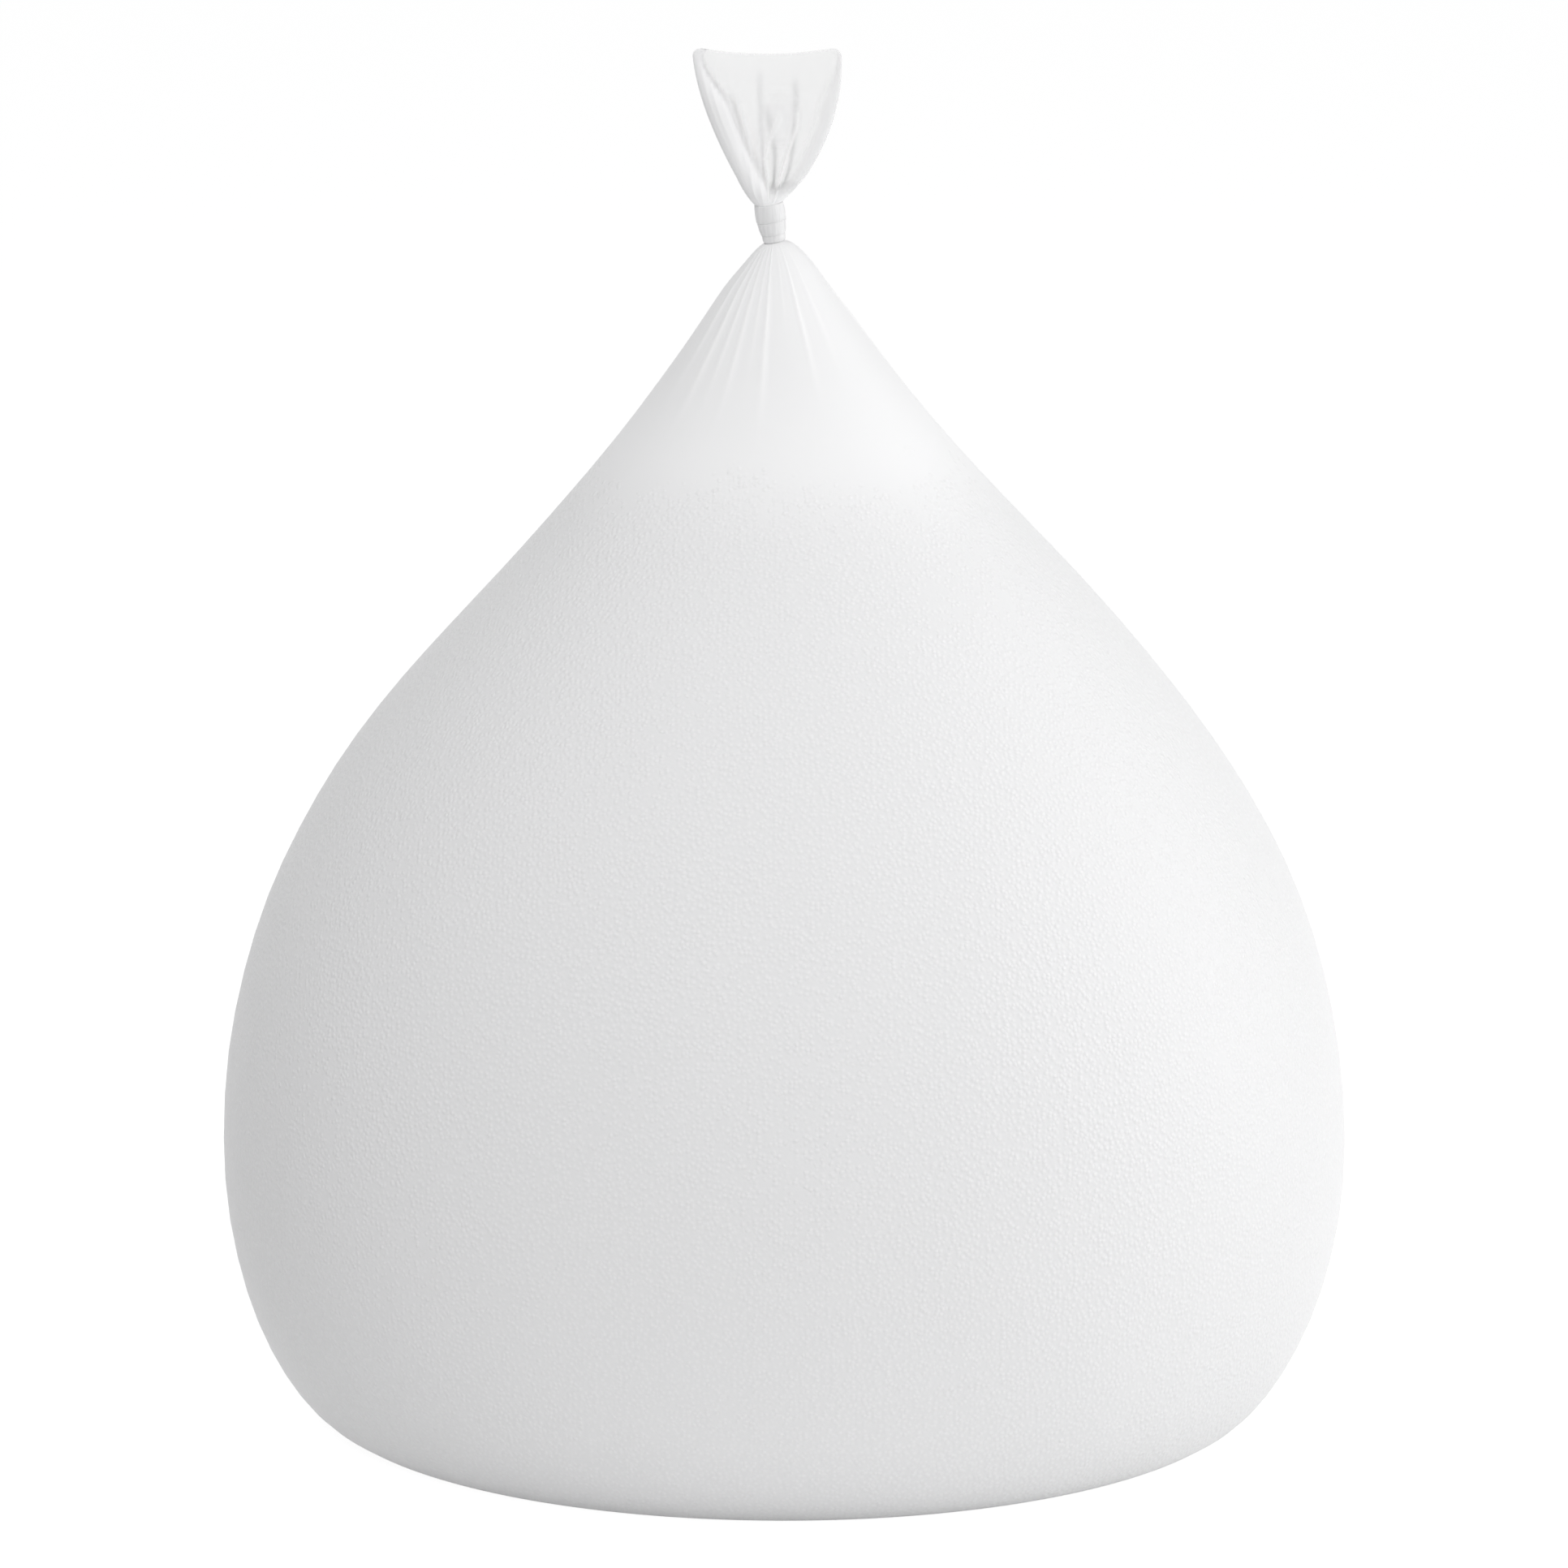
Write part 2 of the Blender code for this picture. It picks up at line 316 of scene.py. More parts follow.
BACK_FOLDS = (
    Fold(((0.02, -0.52), (0.40, -0.40), (0.80, -0.36)), 0.0010, 0.050),
    Fold(((0.02, -0.14), (0.35, -0.05), (0.60, 0.06)), 0.0011, 0.055),
    Fold(((0.02, 0.25), (0.45, 0.18), (0.85, 0.12)), 0.0008, 0.045),
    Fold(((0.05, 0.50), (0.70, 0.56)), 0.0009, 0.050),
)
FOLD_FADE = 0.06
FOLD_RUN = 0.05

# Creases of the mouth at distances from its left side, and the shares of its height over which
# they start and end
SIDE_CREASES = (0.0050, 0.0092, 0.0140)
SIDE_CREASE_HEIGHT = 0.0004
SIDE_CREASE_WIDTH = 0.0012
SIDE_CREASE_START = 0.25
SIDE_CREASE_RUN = 0.3
SIDE_CREASE_END = 0.85
SIDE_CREASE_FADE = 0.1

# Lamps of the studio
LAMPS = (
    Lamp("key", (1.0, -0.02, 0.33), 3.0, 3.0, 56.5),
    Lamp("overhead", (-0.36, -0.24, 1.0), 2.6, 2.6, 29.5),
    Lamp("front", (0.0, -1.0, 0.36), 3.0, 3.0, 26.5),
)


def smooth(share):
    """0 up to 0, 1 from 1 on, and an eased rise between them."""
    share = np.clip(share, 0.0, 1.0)
    return share * share * (3.0 - 2.0 * share)


def smooth_max(first, second, softness):
    """The larger of two values, rounded off where they cross."""
    return 0.5 * (first + second + np.sqrt((first - second) ** 2 + softness ** 2))


def bell(distance):
    """1 in the middle, and less on both sides."""
    return np.exp(-distance * distance)


def turns(count):
    """Angles of the points round one ring."""
    return np.linspace(0.0, 2.0 * math.pi, count, endpoint=False)


def direction(slope):
    """Upwards and inwards, at an angle from the vertical."""
    return Vector((-math.sin(slope), math.cos(slope)))


def stretch(start, leaving, end, arriving, roundness, rings):
    """Points of one curve after its start, leaving and arriving in the given directions."""
    length = (end - start).length
    first, last = roundness
    return interpolate_bezier(start, start + leaving * length * first,
                              end - arriving * length * last, end, rings + 1)[1:]


def side_outline():
    """Outer film as (stretch, share, point) rows, from the edge of the foot up to the waist."""
    outwards = Vector((1.0, 0.0))
    upwards = direction(0.0)
    foot = Vector((FOOT_RADIUS, 0.0))
    belly = Vector((BELLY_RADIUS, BELLY_HEIGHT))
    fill_line = Vector((FILL_RADIUS, FILL_HEIGHT))
    waist = Vector((WAIST_RADIUS, WAIST_HEIGHT))
    heel = stretch(foot, outwards, belly, upwards, HEEL_ROUNDNESS, HEEL_RINGS)
    shoulder = stretch(belly, upwards, fill_line, direction(FILL_SLOPE), SHOULDER_ROUNDNESS,
                       SHOULDER_RINGS)
    cone = stretch(fill_line, direction(FILL_SLOPE), waist, direction(WAIST_SLOPE),
                   CONE_ROUNDNESS, CONE_RINGS)
    rows = []
    for ring in range(1, FOOT_RINGS + 1):
        share = ring / FOOT_RINGS
        rows.append(("foot", share, foot * share))
    for name, points in (("heel", heel), ("shoulder", shoulder), ("cone", cone)):
        for number, point in enumerate(points, 1):
            rows.append((name, number / len(points), point))
    return rows


def inset_outline(points, depth):
    """Move an outline inwards by depth, mitred at its points. The foot stays flat."""
    chain = [Vector((0.0, 0.0))] + list(points)
    normals = []
    for first, second in zip(chain, chain[1:]):
        along = (second - first).normalized()
        normals.append(Vector((along.y, -along.x)))
    moved = []
    for point, before, after in zip(points, normals, normals[1:] + normals[-1:]):
        middle = (before + after).normalized()
        moved.append(point - middle * (depth / middle.dot(after)))
    return moved


def centre_offset(height):
    """How far the centre line lies from the Z axis in X, below the tape."""
    start = FILL_HEIGHT - DRIFT_START
    sway = SWAY * math.exp(-((height - start) / SWAY_SPREAD) ** 2)
    share = max(height - start, 0.0) / (WAIST_HEIGHT - start)
    return sway - WAIST_OFFSET * share * share


def body_rings(inset):
    """Round rings of the filled sack and its cone, from the foot to the waist."""
    rows = side_outline()
    moved = inset_outline([point for _, _, point in rows], inset)
    rings = []
    for (name, share, (_, level)), (radius, height) in zip(rows, moved):
        lean = NECK_LEAN * float(smooth(1.0 - (WAIST_HEIGHT - level) / LEAN_RUN_IN))
        rings.append(Ring(name, share, centre_offset(level), height, lean, radius, radius,
                          inset))
    return rings


def neck_radius(rise):
    """Radius of the gathered film inside the tape: it widens over the two lower turns."""
    return WAIST_RADIUS + (NECK_RADIUS - WAIST_RADIUS) * np.clip(rise / TAPER_HEIGHT, 0.0, 1.0)


def neck_ring(rise, radius):
    """Ring of the neck at a rise along its leaning axis, counted from the waist."""
    x = -WAIST_OFFSET - rise * math.sin(NECK_LEAN)
    z = WAIST_HEIGHT + rise * math.cos(NECK_LEAN)
    return Ring("neck", rise / TAPE_HEIGHT, x, z, NECK_LEAN, radius, radius, 0.0)


def mouth_rises():
    """Heights of the mouth's rings above the tape, close together at the neck and corners."""
    straight = MOUTH_HEIGHT - MOUTH_CORNER
    lower = [straight * (ring / MOUTH_RINGS) ** MOUTH_CROWDING
             for ring in range(1, MOUTH_RINGS + 1)]
    corner = [straight + MOUTH_CORNER * math.sin(0.5 * math.pi * ring / CORNER_RINGS)
              for ring in range(1, CORNER_RINGS + 1)]
    return lower + corner


def mouth_ring(rise, inset):
    """Ring of the loose mouth at a height above the tape. Its depth is the side rolls' radius."""
    share = rise / MOUTH_HEIGHT
    run = min(rise, LEAN_RUN_OUT)
    top = neck_ring(TAPE_HEIGHT, NECK_RADIUS)
    x = top.x - math.sin(NECK_LEAN) * (run - run * run / (2.0 * LEAN_RUN_OUT))
    lean = NECK_LEAN * (1.0 - run / LEAN_RUN_OUT)
    spread = math.sin(0.5 * math.pi * share) ** MOUTH_FLARE
    width = NECK_RADIUS + (MOUTH_HALF_WIDTH - NECK_RADIUS) * spread
    past_corner = max(rise - (MOUTH_HEIGHT - MOUTH_CORNER), 0.0)
    width -= MOUTH_CORNER - math.sqrt(max(MOUTH_CORNER ** 2 - past_corner ** 2, 0.0))
    x += MOUTH_SWING * math.sin(math.pi * share ** SWING_ONSET)
    roll = SIDE_ROLL + (NECK_RADIUS - SIDE_ROLL) * (1.0 - smooth(share / SIDE_ROLL_RUN))
    roll += (SIDE_ROLL_AT_RIM - SIDE_ROLL) * smooth((share - RIM_ROLL_START) / RIM_ROLL_RUN)
    return Ring("mouth", share, x, top.z + rise, lean, width, float(roll), inset)


def cone_pleats():
    """The pleats seen on the front, and others of the same kind round the sides and the back."""
    random = np.random.default_rng(SEED)
    pleats = list(FRONT_PLEATS)
    last = FRONT_PLEATS[0].degrees + 360.0 - PLEAT_ROOM
    degrees = SMOOTH_UP_TO
    while True:
        degrees += random.uniform(*PLEAT_STEPS)
        if degrees > last:
            return pleats
        pleats.append(Pleat(degrees, random.uniform(*PLEAT_HEIGHTS), random.uniform(*PLEAT_WIDTHS),
                            random.uniform(*PLEAT_REACHES)))


def pleat_rise(turn, ring, pleats):
    """How far the pleats lift the cone's film, at each turn of one ring."""
    total = np.zeros_like(turn)
    tightness = np.clip(ring.width / PLEAT_FULL_RADIUS, 0.0, 1.0)
    for pleat in pleats:
        middle = math.radians(pleat.degrees) - 0.5 * math.pi
        away = np.angle(np.exp(1j * (turn - middle)))
        grown = smooth((ring.share - pleat.reach) / PLEAT_RUN)
        total += pleat.height * grown * tightness * bell(away / math.radians(pleat.width))
    return total


def unevenness(points, share):
    """Slow waves of the film over the beads, which die out at the foot and in the cone."""
    total = np.zeros(len(points))
    for waves, depth in UNEVENNESS:
        total += depth * np.array([noise.noise(Vector(point) * waves) for point in points])
    return total * share


def placed(ring, across, through, drop=0.0):
    """Points of one ring, leaning with the neck, and lowered by drop along its axis."""
    x = ring.x + across * math.cos(ring.lean) + drop * math.sin(ring.lean)
    z = ring.z + across * math.sin(ring.lean) - drop * math.cos(ring.lean)
    return np.stack([x, through, z + np.zeros_like(x)], axis=1)


def round_points(ring, pleats):
    """Points of a round ring of the foot, heel, shoulder, cone or neck, how much of each is a
    crest of a pleat, and how much of the film is doubled there."""
    turn = turns(SEGMENTS)
    radius = np.full(SEGMENTS, ring.width)
    crest = np.zeros(SEGMENTS)
    flat = placed(ring, radius * np.cos(turn), radius * np.sin(turn))
    if ring.stretch in ("heel", "shoulder"):
        radius = radius + unevenness(flat, smooth(ring.z / UNEVEN_HEIGHT))
    if ring.stretch == "cone":
        lift = pleat_rise(turn, ring, pleats)
        still_uneven = 1.0 - smooth(ring.share / UNEVEN_CONE_SHARE)
        radius = radius + unevenness(flat, still_uneven) + lift
        crest = np.clip(lift / CREST_HEIGHT, 0.0, 1.0)
    return placed(ring, radius * np.cos(turn), radius * np.sin(turn)), crest, crest


def web_folds(across, ring, folds):
    """How far the folds lift the mouth's web, at each place across one ring."""
    total = np.zeros_like(across)
    for fold in folds:
        shares, places = zip(*fold.path)
        start, end = shares[0], shares[-1]
        middle = np.interp(ring.share, shares, places)
        fade = smooth((ring.share - start + FOLD_FADE) / FOLD_FADE)
        fade *= 1.0 - smooth((ring.share - end + FOLD_FADE) / (2.0 * FOLD_FADE))
        total += fold.height * fade * bell((across / ring.width - middle) / fold.width)
    return total * smooth(ring.share / FOLD_RUN)


def side_creases(across, ring):
    """Narrow folds that run along the left side of the mouth, in its upper part."""
    total = np.zeros_like(across)
    for distance in SIDE_CREASES:
        away = across + ring.width - distance
        total += SIDE_CREASE_HEIGHT * bell(away / SIDE_CREASE_WIDTH)
    risen = smooth((ring.share - SIDE_CREASE_START) / SIDE_CREASE_RUN)
    gone = smooth((ring.share - SIDE_CREASE_END) / SIDE_CREASE_FADE)
    return total * risen * (1.0 - gone)


def mouth_points(ring):
    """Points of a ring of the mouth: the front sheet, the back sheet and the side rolls between
    them. With them, how much each is whitened, on the crest of a fold partly for doubled film and
    partly as a painted highlight, and close to the tape as painted light; and how much of the film
    is folded or rolled double there, more on the left roll than on the right as painted shade."""
    turn = turns(SEGMENTS)
    half_width = ring.width - ring.inset
    across = half_width * np.cos(turn)
    left = smooth(0.5 - 2.0 * across / half_width)
    swell = 1.0 + LEFT_ROLL_SWELL * left * smooth(ring.share / LEFT_SWELL_RUN)
    roll_radius = np.minimum(ring.depth * swell, ring.width) - ring.inset
    edge = np.abs(across) - (half_width - roll_radius)
    flatness = RIGHT_FLATNESS + (LEFT_FLATNESS - RIGHT_FLATNESS) * left
    flat = 1.0 - flatness * smooth(ring.share / FLATNESS_RUN)
    roll = flat * np.sqrt(np.clip(roll_radius ** 2 - edge ** 2, 0.0, None))
    at_rim = smooth((ring.share - RIM_GAPE_START) / (1.0 - RIM_GAPE_START))
    gape = WEB_GAP + RIM_GAPE * at_rim - ring.inset
    gape += NECK_GAPE * (1.0 - smooth(ring.share / NECK_GAPE_RUN))
    bow = NECK_BOW + BOW_GAIN * smooth((ring.share - BOW_START) / BOW_RUN)
    web = gape * np.sqrt(np.clip(1.0 - np.abs(across / half_width) ** bow, 0.0, None))
    depth = smooth_max(roll, web, CREASE_SOFTNESS) - 0.5 * CREASE_SOFTNESS
    dent = DENT_DEPTH * bell((ring.share - DENT_HEIGHT) / DENT_REACH)
    dent = dent * bell((across / half_width - DENT_PLACE) / DENT_WIDTH)
    on_front = web_folds(across, ring, FRONT_FOLDS)
    on_back = web_folds(-across, ring, BACK_FOLDS)
    front = depth + on_front + side_creases(across, ring) - dent
    back = depth + on_back
    side = np.sin(turn)
    off_side = np.clip(np.abs(side) * SIDE_SHARPNESS, 0.0, 1.0)
    through = np.where(side < 0.0, -front, back) * off_side
    drop = RIM_DIP * ring.share ** RIM_DIP_ONSET * side ** 2
    crest = np.clip(np.where(side < 0.0, on_front, on_back) / CREST_HEIGHT, 0.0, 1.0)
    # Painted light that whitens the web near the tape, away from the rolls
    gathered = WEB_PAINTED_LIGHT * (1.0 - smooth(ring.share / WEB_PAINTED_LIGHT_RUN))
    painted_light = gathered * smooth(-edge / roll_radius)
    hem = roll_radius * (1.0 + LEFT_HEM * left)
    # Full doubling on the left roll and less on the right: painted shade on the left side
    painted_roll_shade = RIGHT_ROLL_PAINTED_SHADE + (1.0 - RIGHT_ROLL_PAINTED_SHADE) * left
    rolled = smooth((edge + hem) / (HEM_SOFTNESS * roll_radius))
    rolled *= painted_roll_shade * smooth(ring.share / HEM_RUN)
    points = placed(ring, across, through, drop)
    return points, np.maximum(crest, painted_light), np.maximum(crest, rolled)


def add_object(name, data):
    """A new object in the scene."""
    made = bpy.data.objects.new(name, data)
    bpy.context.scene.collection.objects.link(made)
    return made


def loft(name, levels, capped):
    """Closed body through the levels in order. Where it is capped, its first and last level each
    end in one point at their middle, and otherwise the last level joins the first."""
    body = bmesh.new()
    rings = [[body.verts.new(point) for point in level] for level in levels]
    count = len(rings[0])
    for lower, upper in zip(rings, rings[1:]):
        for index in range(count):
            after = (index + 1) % count
            body.faces.new((lower[index], lower[after], upper[after], upper[index]))
    for ring in (rings[0], rings[-1]) if capped else ():
        middle = body.verts.new(sum((vertex.co for vertex in ring), Vector()) / count)
        for index in range(count):
            after = (index + 1) % count
            corners = (middle, ring[after], ring[index])
            body.faces.new(corners if ring is rings[0] else corners[::-1])
    if not capped:
        for index in range(count):
            after = (index + 1) % count
            body.faces.new((rings[-1][index], rings[-1][after], rings[0][after],
                            rings[0][index]))
    bmesh.ops.recalc_face_normals(body, faces=body.faces)
    mesh = bpy.data.meshes.new(name)
    body.to_mesh(mesh)
    body.free()
    mesh.shade_smooth()
    return add_object(name, mesh)


def store(mesh, name, kind, values):
    """Keep a value for each point of the mesh, for its material to read."""
    attribute = mesh.attributes.new(name, kind, "POINT")
    key = "vector" if kind == "FLOAT_VECTOR" else "value"
    attribute.data.foreach_set(key, np.asarray(values, np.float32).ravel())


def film_level(ring, pleats):
    """Points of one ring of the film, how much each is whitened on crests and as painted light
    near the tape, and how much is doubled there.
    """
    return mouth_points(ring) if ring.stretch == "mouth" else round_points(ring, pleats)


def backing(ring):
    """1 where beads lie right behind the film, and 0 in the loose film above them."""
    if ring.stretch in ("neck", "mouth"):
        return 0.0
    return 1.0 - float(smooth((ring.z - FILL_HEIGHT + FADE_BELOW) / (FADE_BELOW + FADE_ABOVE)))


def pressing(points):
    """How hard beads press into the film at each point: in patches, and less near their top."""
    values = []
    for point in points:
        patch = PATCH_LEVEL + PATCH_CHANGE * noise.noise(Vector(point) * PATCH_WAVES)
        waver = PRESSING_WAVER * noise.noise(Vector(point) * PRESSING_WAVES)
        edge = FILL_HEIGHT - PRESSING_DEPTH + waver
        values.append(patch * (1.0 - smooth((point[2] - edge) / PRESSING_FADE + 0.5)))
    return np.clip(values, 0.0, 1.0)


def cover(ring, inner):
    """Share of what lies behind that the film hides, counted once for its two faces: all of it
    over beads and at the neck, and less in the loose film."""
    open_cover = MOUTH_COVER if ring.stretch in ("neck", "mouth") else CONE_COVER
    if inner:
        open_cover = INNER_COVER
    closed = smooth((gathering(ring) - CLOSED_FROM) / (1.0 - CLOSED_FROM))
    if ring.stretch not in ("neck", "mouth"):
        clear = smooth((ring.z - FILL_HEIGHT - CLEAR_START) / CLEAR_RUN)
        closed = 1.0 - clear
    return open_cover + (1.0 - open_cover) * float(closed)


def gathering(ring):
    """How tightly the film is gathered: 1 at the tape, and 0 where it is stretched smooth."""
    if ring.stretch == "neck":
        return 1.0
    if ring.stretch == "mouth":
        return float(1.0 - LOOSENESS * smooth(ring.share / LOOSENESS_RUN))
    if ring.stretch == "cone":
        return float(smooth(ring.share))
    return 0.0


def make_sack_film(pleats, over_beads, clear):
    """The film, outer face up to the rim and inner face down again, as one closed skin."""
    outer = body_rings(0.0)
    inner = body_rings(FILM_THICKNESS)[:-1]
    for step in range(1, NECK_RINGS + 1):
        rise = TAPE_HEIGHT * step / NECK_RINGS
        outer.append(neck_ring(rise, float(neck_radius(rise))))
    for rise in (0.0, TAPE_HEIGHT):
        inner.append(neck_ring(rise, NECK_CHANNEL_RADIUS))
    for rise in mouth_rises():
        outer.append(mouth_ring(rise, 0.0))
        inner.append(mouth_ring(rise, FILM_THICKNESS))
    rings = outer + inner[::-1]
    levels, crests_and_painted_light, doubled = zip(*[film_level(ring, pleats) for ring in rings])
    film = loft("sack_film", levels, True)
    add_film_data(film.data, rings, len(outer), np.concatenate(levels), np.concatenate(crests_and_painted_light),
                  np.concatenate(doubled))
    film.data.materials.append(over_beads)
    film.data.materials.append(clear)
    loose = {index for index, ring in enumerate(rings)
             if ring.stretch in ("neck", "mouth") or ring.z > FILL_HEIGHT - FADE_BELOW}
    for face in film.data.polygons:
        numbers = {vertex // SEGMENTS for vertex in face.vertices}
        face.material_index = 1 if numbers <= loose else 0
    return film


def add_film_data(mesh, rings, outer_count, points, crests_and_painted_light, doubled):
    """What the film's finish reads at each point."""
    turn = turns(SEGMENTS)
    spare = len(mesh.vertices) - len(rings) * SEGMENTS
    back = [backing(ring) for ring in rings for _ in turn] + [1.0] * spare
    gathered = [gathering(ring) for ring in rings for _ in turn] + [0.0] * spare
    hidden = [cover(ring, number >= outer_count) for number, ring in enumerate(rings)
              for _ in turn] + [1.0] * spare
    crests_and_painted_light = np.concatenate([crests_and_painted_light, np.zeros(spare)])
    # Doubled film hides more of what is behind it; on the rolls this carries the painted shade of
    # the left side
    doubled = np.concatenate([doubled, np.zeros(spare)]) * (np.array(hidden) > 0.0)
    hidden = hidden + DOUBLE_COVER * doubled * (1.0 - np.array(hidden))
    lines = []
    for ring in rings:
        height = np.full(SEGMENTS, ring.z)
        lines.append(np.stack([np.cos(turn), np.sin(turn), height], axis=1))
    lines.append(np.zeros((spare, 3)))
    store(mesh, "backing", "FLOAT", back)
    store(mesh, "pressing", "FLOAT", np.concatenate([pressing(points), np.zeros(spare)]))
    store(mesh, "gathering", "FLOAT", gathered)
    store(mesh, "cover", "FLOAT", hidden)
    # The crest value also carries the painted light of the web near the tape
    store(mesh, "crest", "FLOAT", crests_and_painted_light)
    store(mesh, "gather_lines", "FLOAT_VECTOR", np.concatenate(lines))


def make_bead_mass(pleats, finish):
    """The mass of beads: inside the film up to the fill line, with a low mound on top."""
    rings = [ring for ring in body_rings(FILM_THICKNESS + FILL_GAP) if ring.stretch != "cone"]
    edge = rings[-1]
    for step in range(1, MOUND_RINGS + 1):
        share = step / (MOUND_RINGS + 1)
        radius = edge.width * (1.0 - share)
        height = edge.z + FILL_MOUND * math.sin(0.5 * math.pi * share)
        rings.append(Ring("mound", share, edge.x, height, edge.lean, radius, radius, 0.0))
    mass = loft("bead_mass", [round_points(ring, pleats)[0] for ring in rings], True)
    mass.data.materials.append(finish)
    return mass


def heap_nodes(finish):
    """Beads strewn over a surface, each turned and sized a little differently."""
    tree = bpy.data.node_groups.new("strewn_beads", "GeometryNodeTree")
    face = tree.interface
    face.new_socket("Surface", in_out="INPUT", socket_type="NodeSocketGeometry")
    face.new_socket("Bead Radius", in_out="INPUT", socket_type="NodeSocketFloat")
    face.new_socket("Bead Spacing", in_out="INPUT", socket_type="NodeSocketFloat")
    face.new_socket("Seed", in_out="INPUT", socket_type="NodeSocketInt")
    face.new_socket("Beads", in_out="OUTPUT", socket_type="NodeSocketGeometry")
    add = tree.nodes.new
    link = tree.links.new
    given = add("NodeGroupInput")
    result = add("NodeGroupOutput")
    strew = add("GeometryNodeDistributePointsOnFaces")
    strew.distribute_method = "POISSON"
    strew.inputs["Density Max"].default_value = HEAP_DENSITY
    link(given.outputs["Surface"], strew.inputs["Mesh"])
    link(given.outputs["Bead Spacing"], strew.inputs["Distance Min"])
    link(given.outputs["Seed"], strew.inputs["Seed"])
    bead = add("GeometryNodeMeshIcoSphere")
    bead.inputs["Subdivisions"].default_value = 1
    link(given.outputs["Bead Radius"], bead.inputs["Radius"])
    rounded = add("GeometryNodeSetShadeSmooth")
    link(bead.outputs["Mesh"], rounded.inputs["Geometry"])
    turn = add("FunctionNodeRandomValue")
    turn.data_type = "FLOAT_VECTOR"
    turn.inputs["Max"].default_value = (HEAP_BEAD_TURN, HEAP_BEAD_TURN, HEAP_BEAD_TURN)
    size = add("FunctionNodeRandomValue")
    size.data_type = "FLOAT"
    size.inputs["Min"].default_value = HEAP_BEAD_SIZES[0]
    size.inputs["Max"].default_value = HEAP_BEAD_SIZES[1]
    spread = add("GeometryNodeInstanceOnPoints")
    link(strew.outputs["Points"], spread.inputs["Points"])
    link(rounded.outputs["Geometry"], spread.inputs["Instance"])
    link(turn.outputs["Value"], spread.inputs["Rotation"])
    factor = [output for output in size.outputs if output.enabled][0]
    link(factor, spread.inputs["Scale"])
    real = add("GeometryNodeRealizeInstances")
    link(spread.outputs["Instances"], real.inputs["Geometry"])
    painted = add("GeometryNodeSetMaterial")
    painted.inputs["Material"].default_value = finish
    link(real.outputs["Geometry"], painted.inputs["Geometry"])
    link(painted.outputs["Geometry"], result.inputs["Beads"])
    return tree


def mound_surface():
    """Top of the mass of beads, as an open disc a little inside the film."""
    edge = body_rings(FILM_THICKNESS + FILL_GAP)[FOOT_RINGS + HEEL_RINGS + SHOULDER_RINGS - 1]
    disc = bmesh.new()
    bmesh.ops.create_circle(disc, cap_ends=True, cap_tris=True, segments=MOUND_SIDES, radius=1.0)
    bmesh.ops.subdivide_edges(disc, edges=disc.edges, cuts=MOUND_CUTS, use_grid_fill=True)
    for vertex in disc.verts:
        share = min(vertex.co.xy.length, 1.0)
        lift = FILL_MOUND * math.sin(0.5 * math.pi * (1.0 - share))
        radius = edge.width - HEAP_MARGIN
        vertex.co = Vector((edge.x + vertex.co.x * radius, vertex.co.y * radius, edge.z + lift))
    mesh = bpy.data.meshes.new("mound_surface")
    disc.to_mesh(mesh)
    disc.free()
    return add_object("bead_heap", mesh)


def make_bead_heap(finish):
    """Loose beads on top of the mass, seen through the film of the cone."""
    heap = mound_surface()
    strewn = heap.modifiers.new("strewn beads", "NODES")
    strewn.node_group = heap_nodes(finish)
    values = {"Bead Radius": HEAP_BEAD_RADIUS, "Bead Spacing": HEAP_SPACING, "Seed": SEED}
    for item in strewn.node_group.interface.items_tree:
        if item.name in values:
            strewn[item.identifier] = values[item.name]
    seen = heap.evaluated_get(bpy.context.evaluated_depsgraph_get())
    beads = bpy.data.meshes.new_from_object(seen)
    heap.modifiers.clear()
    heap.data = beads
    return heap


def tape_profile():
    """Section of the wound tape as (radius, rise, free) rows: up its outer side, then down its
    inner side. Free is how far a point may ripple."""
    rows = []
    bounds = ((0.0, LOWER_TURN), (LOWER_TURN, TAPER_HEIGHT), (TAPER_HEIGHT, TAPE_HEIGHT))
    for bottom, top in bounds:
        lower = neck_radius(bottom) + TAPE_GAP + TAPE_THICKNESS + TAPE_LAP
        upper = neck_radius(top) + TAPE_GAP + TAPE_THICKNESS
        for share in TURN_SECTION:
            bulge = TURN_BULGE * math.sin(math.pi * share)
            inward = TAPE_LAP if share == 0.0 else 0.0
            rows.append((lower + (upper - lower) * share + bulge - inward,
                         bottom + (top - bottom) * share, 1.0))
    for rise in (TAPE_HEIGHT, TAPER_HEIGHT, LOWER_TURN, 0.0):
        rows.append((neck_radius(rise) - TAPE_GRIP, rise, 0.0))
    return rows


def make_tape_band(finish):
    """The tape wound round the neck, with its gathered film showing as ripples."""
    turn = turns(TAPE_SEGMENTS)
    levels = []
    for radius, rise, free in tape_profile():
        up = Vector((0.0, 0.0, rise * RIPPLES_UP))
        ripple = np.array([noise.noise(Vector((math.cos(angle), math.sin(angle), 0.0))
                                       * RIPPLES_ROUND + up) for angle in turn])
        waver = 0.0
        if free and 0.0 < rise < TAPE_HEIGHT:
            waver = TAPE_WAVER * np.sin(turn + WAVER_TURN)
        ring = neck_ring(rise, radius)
        reach = radius + free * TAPE_RIPPLE * ripple
        across = reach * np.cos(turn)
        through = reach * np.sin(turn)
        levels.append(placed(ring, across, through, -waver))
    band = loft("tape_band", levels, False)
    band.data.materials.append(finish)
    return band


